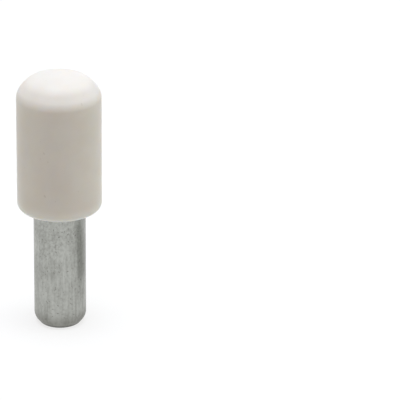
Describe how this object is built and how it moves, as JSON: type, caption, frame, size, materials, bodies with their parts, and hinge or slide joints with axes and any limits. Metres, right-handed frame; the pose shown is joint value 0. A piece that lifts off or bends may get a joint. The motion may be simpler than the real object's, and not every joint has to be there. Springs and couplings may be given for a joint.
{
  "type": "shelf support pin",
  "caption": "Round steel pin with a chamfered bare end for a shelf hole and a domed white plastic cap that the shelf rests on.",
  "frame": {"origin": "on the axis, in the plane of the cap's open end, which lies against the cabinet's side in use", "axes": "+Z along the axis towards the crown of the cap, so the bare pin points along -Z; the part is round, so X and Y are free"},
  "size_m": [0.008, 0.008, 0.0256],
  "materials": {
    "zinc_plated_steel": "satin zinc plate, finely mottled",
    "white_plastic": "smooth satin, as moulded"
  },
  "bodies": {
    "root": {"steel_pin": "zinc_plated_steel", "plastic_cap": "white_plastic"}
  },
  "joints": []
}
